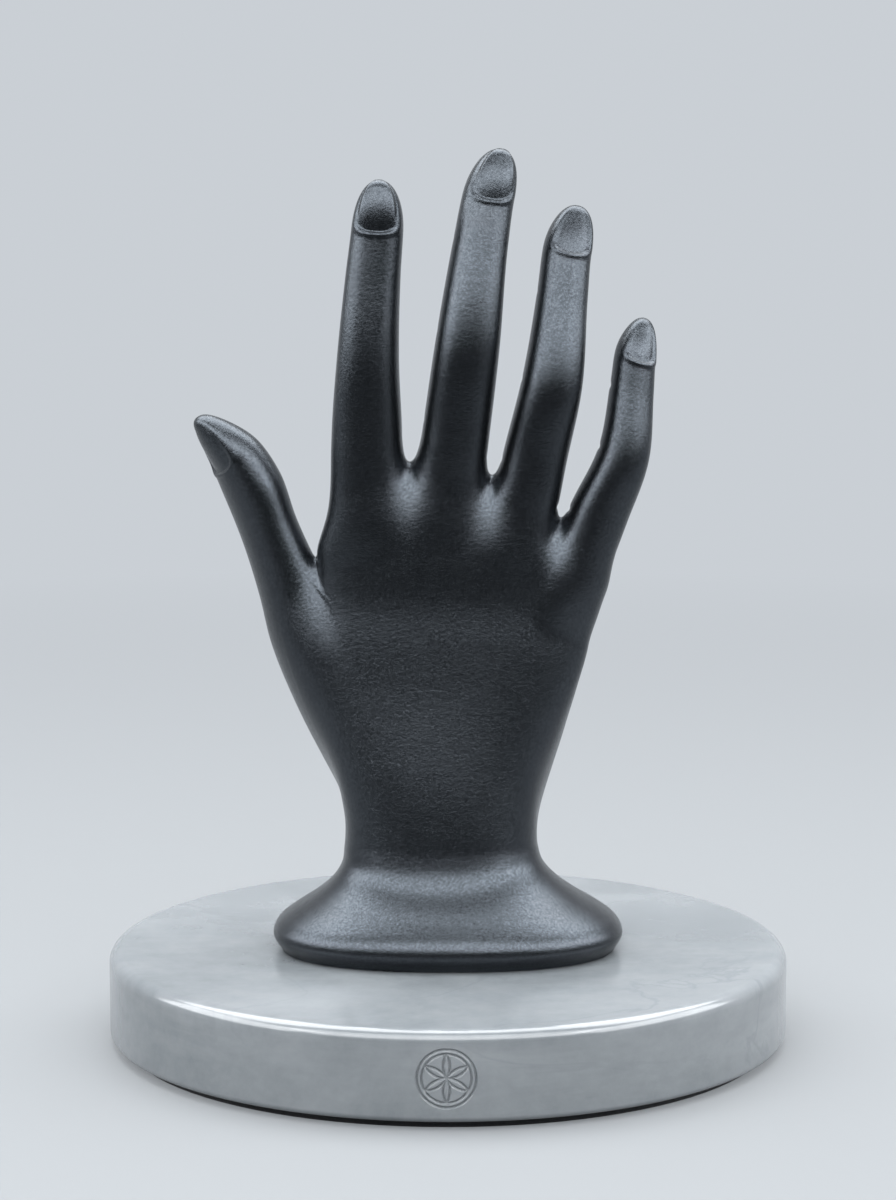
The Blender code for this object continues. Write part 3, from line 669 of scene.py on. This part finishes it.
class Nodes:
    """A material's node tree, with short ways to add and join nodes."""

    def __init__(self, name):
        self.material = bpy.data.materials.new(name)
        self.material.use_nodes = True
        self.tree = self.material.node_tree
        self.shader = self.tree.nodes["Principled BSDF"]
        self.place = self.add("ShaderNodeTexCoord").outputs["Object"]

    def add(self, kind, **values):
        """Add a node and set its own properties."""
        node = self.tree.nodes.new(kind)
        for name, value in values.items():
            setattr(node, name, value)
        return node

    def join(self, source, target):
        """Link an output to an input."""
        self.tree.links.new(source, target)

    def stretched(self, scale, turn=(0, 0, 0)):
        """Return the object's coordinates, scaled and turned."""
        mapping = self.add("ShaderNodeMapping")
        mapping.inputs["Scale"].default_value = scale
        mapping.inputs["Rotation"].default_value = [math.radians(value) for value in turn]
        self.join(self.place, mapping.inputs["Vector"])
        return mapping.outputs["Vector"]

    def noise(self, scale, detail=3.0, roughness=0.5, distortion=0.0, place=None):
        """Return a noise pattern's value."""
        node = self.add("ShaderNodeTexNoise")
        for name, value in (("Scale", scale), ("Detail", detail), ("Roughness", roughness),
                            ("Distortion", distortion)):
            node.inputs[name].default_value = value
        self.join(self.place if place is None else place, node.inputs["Vector"])
        return node.outputs["Fac"]

    def spread(self, value, from_range, to_range):
        """Return a value moved from one range to another and kept in it."""
        node = self.add("ShaderNodeMapRange")
        node.inputs["From Min"].default_value, node.inputs["From Max"].default_value = from_range
        node.inputs["To Min"].default_value, node.inputs["To Max"].default_value = to_range
        self.join(value, node.inputs["Value"])
        return node.outputs["Result"]

    def math(self, operation, *values):
        """Return the result of one sum on values or numbers."""
        node = self.add("ShaderNodeMath", operation=operation)
        for slot, value in zip(node.inputs, values):
            if isinstance(value, (int, float)):
                slot.default_value = value
            else:
                self.join(value, slot)
        return node.outputs["Value"]

    def blend(self, amount, first, second):
        """Return a colour between two colours."""
        node = self.add("ShaderNodeMix", data_type="RGBA")
        self.join(amount, node.inputs["Factor"])
        for slot, value in ((node.inputs[6], first), (node.inputs[7], second)):
            if isinstance(value, tuple):
                slot.default_value = (*value, 1)
            else:
                self.join(value, slot)
        return node.outputs[2]

    def bump(self, height, distance, strength=1.0, under=None):
        """Return a normal bent by a height, over an earlier bump if there is one."""
        node = self.add("ShaderNodeBump")
        node.inputs["Strength"].default_value = strength
        node.inputs["Distance"].default_value = distance
        self.join(height, node.inputs["Height"])
        if under is not None:
            self.join(under, node.inputs["Normal"])
        return node.outputs["Normal"]


def charcoal_paint():
    """Satin charcoal paint with fine graphite flakes, on a cast with a leathery grain."""
    n = Nodes("charcoal_paint")
    broad = n.noise(22, detail=4)
    speckle = n.noise(1500, detail=3, roughness=0.6)
    tone = n.math("ADD", n.math("MULTIPLY", broad, 0.25), n.math("MULTIPLY", speckle, 0.75))
    colour = n.blend(n.spread(tone, (0.36, 0.64), (0, 1)), PAINT_DARK, PAINT_LIGHT)
    n.join(colour, n.shader.inputs["Base Color"])
    n.join(n.spread(n.noise(700, detail=3), (0.3, 0.7), (0.22, 0.27)), n.shader.inputs["Roughness"])
    n.shader.inputs["Metallic"].default_value = 0.96
    satin = n.bump(n.noise(5000, detail=1), 0.000034)
    grain = n.bump(n.noise(1250, detail=3, roughness=0.6), 0.00014, 0.50, under=satin)
    pebbles = n.add("ShaderNodeTexVoronoi", feature="SMOOTH_F1")
    pebbles.inputs["Scale"].default_value = 900
    n.join(n.place, pebbles.inputs["Vector"])
    leather = n.bump(pebbles.outputs["Distance"], 0.00010, 0.15, under=grain)
    n.join(leather, n.shader.inputs["Normal"])
    return n.material


def polished_marble():
    """Pale grey polished marble with soft clouds, streaks and a few thin veins."""
    n = Nodes("polished_marble")
    clouds = n.noise(16, detail=7, roughness=0.62, distortion=0.5)
    slanted = n.stretched((0.55, 1.0, 2.6), (8, 14, 10))
    streaks = n.noise(26, detail=6, roughness=0.6, distortion=0.3, place=slanted)
    fine = n.noise(240, detail=5, roughness=0.7)
    tone = n.math("ADD", n.math("MULTIPLY", clouds, 0.55), n.math("MULTIPLY", streaks, 0.45))
    colour = n.blend(n.spread(tone, (0.38, 0.64), (0, 1)), STONE_DARK, STONE_LIGHT)
    colour = n.blend(n.spread(fine, (0.35, 0.75), (0, 0.10)), colour, STONE_FLECK)
    tilted = n.stretched((1.0, 1.2, 1.6), (25, 35, 0))
    path = n.noise(9, detail=6, roughness=0.55, distortion=1.1, place=tilted)
    beside = n.math("ABSOLUTE", n.math("SUBTRACT", path, 0.5))
    vein = n.spread(beside, (0.0, 0.012), (1, 0))
    patches = n.spread(n.noise(11, detail=2), (0.45, 0.62), (0, 0.45))
    colour = n.blend(n.math("MULTIPLY", vein, patches), colour, STONE_VEIN)
    n.join(colour, n.shader.inputs["Base Color"])
    n.join(n.spread(n.noise(90, detail=4), (0.3, 0.7), (0.12, 0.20)), n.shader.inputs["Roughness"])
    n.join(n.bump(n.noise(420, detail=4), 0.00002, 0.5), n.shader.inputs["Normal"])
    n.shader.inputs["IOR"].default_value = 1.6
    return n.material


def black_foam():
    """Black closed-cell foam."""
    n = Nodes("black_foam")
    cells = n.noise(2600, detail=2)
    n.join(n.blend(cells, (0.010, 0.010, 0.011), (0.026, 0.026, 0.028)), n.shader.inputs["Base Color"])
    n.join(n.spread(n.noise(600), (0.3, 0.7), (0.82, 0.95)), n.shader.inputs["Roughness"])
    n.join(n.bump(cells, 0.0002, 0.7), n.shader.inputs["Normal"])
    return n.material


def metal(name, dark, light, roughness, stretch=(1, 1, 1)):
    """A machined metal with fine marks."""
    n = Nodes(name)
    n.shader.inputs["Metallic"].default_value = 1.0
    marks = n.noise(900, detail=4, place=n.stretched(stretch))
    n.join(n.blend(marks, dark, light), n.shader.inputs["Base Color"])
    n.join(n.spread(marks, (0.3, 0.7), roughness), n.shader.inputs["Roughness"])
    n.join(n.bump(marks, 0.00003, 0.4), n.shader.inputs["Normal"])
    return n.material


def wear(obj, look):
    """Give an object one material."""
    if obj.data.materials:
        obj.material_slots[0].material = look
    else:
        obj.data.materials.append(look)


def make_floor():
    """A plain pale floor that runs into the backdrop's colour far from the stand."""
    bm = bmesh.new()
    bmesh.ops.create_circle(bm, cap_ends=True, segments=FLOOR_SEGMENTS, radius=FLOOR_RADIUS)
    floor = new_object("floor", bm)
    n = Nodes("pale_floor")
    n.shader.inputs["Base Color"].default_value = (*FLOOR_COLOUR, 1)
    n.shader.inputs["Roughness"].default_value = FLOOR_ROUGHNESS
    wear(floor, n.material)

    far = n.add("ShaderNodeEmission")
    far.inputs["Color"].default_value = (*BACKDROP_COLOUR, 1)
    distance = n.add("ShaderNodeVectorMath", operation="LENGTH")
    n.join(n.place, distance.inputs[0])
    parts = n.add("ShaderNodeSeparateXYZ")
    n.join(n.place, parts.inputs[0])
    away = n.spread(distance.outputs["Value"], BACKDROP_FADE, (BACKDROP_START, 1))
    rays = n.add("ShaderNodeLightPath")
    seen = n.math("MAXIMUM", rays.outputs["Is Camera Ray"], rays.outputs["Is Glossy Ray"])
    seen = n.math("MAXIMUM", seen, rays.outputs["Is Transmission Ray"])
    near_front = n.spread(parts.outputs["Y"], FLOOR_FRONT_FADE, (1, 0))
    front = n.math("MULTIPLY", near_front, rays.outputs["Is Glossy Ray"])
    dimming = n.math("MULTIPLY", front, 1 - FRONT_GLOSS)
    n.join(n.math("SUBTRACT", 1, dimming), far.inputs["Strength"])
    mix = n.add("ShaderNodeMixShader")
    n.join(n.math("MAXIMUM", n.math("MULTIPLY", away, seen), front), mix.inputs[0])
    n.join(n.shader.outputs[0], mix.inputs[1])
    n.join(far.outputs[0], mix.inputs[2])
    n.join(mix.outputs[0], n.tree.nodes["Material Output"].inputs["Surface"])


def make_world():
    """A pale studio: the backdrop where it is seen, dim in gloss from the front, and a soft fill."""
    world = bpy.data.worlds.new("studio")
    bpy.context.scene.world = world
    world.use_nodes = True
    tree = world.node_tree

    def add(kind, **values):
        node = tree.nodes.new(kind)
        for name, value in values.items():
            setattr(node, name, value)
        return node

    fill = tree.nodes["Background"]
    fill.inputs["Color"].default_value = (*FILL_COLOUR, 1)
    fill.inputs["Strength"].default_value = FILL_STRENGTH
    seen = add("ShaderNodeBackground")
    seen.inputs["Color"].default_value = (*BACKDROP_COLOUR, 1)
    gloss = add("ShaderNodeBackground")
    gloss.inputs["Color"].default_value = (*BACKDROP_COLOUR, 1)
    parts = add("ShaderNodeSeparateXYZ")
    tree.links.new(add("ShaderNodeTexCoord").outputs["Generated"], parts.inputs[0])
    level = add("ShaderNodeMapRange", interpolation_type="SMOOTHSTEP")
    level.inputs["From Min"].default_value, level.inputs["From Max"].default_value = WORLD_FRONT_FADE
    level.inputs["To Min"].default_value, level.inputs["To Max"].default_value = FRONT_GLOSS, 1.0
    tree.links.new(parts.outputs["Y"], level.inputs["Value"])
    tree.links.new(level.outputs["Result"], gloss.inputs["Strength"])
    rays = add("ShaderNodeLightPath")
    either = add("ShaderNodeMath", operation="MAXIMUM")
    tree.links.new(rays.outputs["Is Camera Ray"], either.inputs[0])
    tree.links.new(rays.outputs["Is Transmission Ray"], either.inputs[1])
    glossy, direct = add("ShaderNodeMixShader"), add("ShaderNodeMixShader")
    for mix, amount, first, second in ((glossy, rays.outputs["Is Glossy Ray"], fill, gloss),
                                       (direct, either.outputs[0], glossy, seen)):
        tree.links.new(amount, mix.inputs[0])
        tree.links.new(first.outputs[0], mix.inputs[1])
        tree.links.new(second.outputs[0], mix.inputs[2])
    tree.links.new(direct.outputs[0], tree.nodes["World Output"].inputs["Surface"])


def softbox(name, place, target, size, power):
    """A rectangular soft light aimed at a point."""
    light = bpy.data.lights.new(name, "AREA")
    light.shape = "RECTANGLE"
    light.size, light.size_y = size
    light.energy = power
    light.color = LAMP_COLOUR
    lamp = bpy.data.objects.new(name, light)
    lamp.location = place
    aim = Vector(target) - Vector(place)
    lamp.rotation_euler = aim.to_track_quat("-Z", "Y").to_euler()
    lamp.visible_camera = False
    bpy.context.scene.collection.objects.link(lamp)


def make_camera():
    """The photograph's view: a long lens, a little above, looking slightly down."""
    camera = bpy.data.cameras.new("camera")
    camera.lens = CAMERA_LENS
    camera.sensor_width = CAMERA_SENSOR
    camera.clip_start = CAMERA_CLIP_START
    eye = bpy.data.objects.new("camera", camera)
    eye.location = CAMERA_PLACE
    eye.rotation_euler = (math.radians(90 - CAMERA_TILT), 0, 0)
    bpy.context.scene.collection.objects.link(eye)
    bpy.context.scene.camera = eye


make_camera()
make_world()
make_floor()
for light in SOFTBOXES:
    softbox(*light)

hand = make_hand()
wear(hand, charcoal_paint())
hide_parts("hand")
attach(hand, "root")

marble = make_marble()
wear(marble, polished_marble())
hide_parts("marble_base")
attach(marble, "root")

wear(nodes["base_pad"], black_foam())
wear(nodes["fixing_bolt"],
     metal("black_oxide", (0.045, 0.045, 0.05), (0.08, 0.08, 0.085), (0.35, 0.5)))
wear(nodes["washer"],
     metal("zinc_plate", (0.50, 0.51, 0.53), (0.62, 0.63, 0.65), (0.25, 0.4)))
wear(nodes["threaded_insert"],
     metal("brass", (0.56, 0.39, 0.14), (0.66, 0.48, 0.19), (0.25, 0.4), stretch=(1, 1, 6)))

bpy.context.scene.view_settings.view_transform = "Standard"
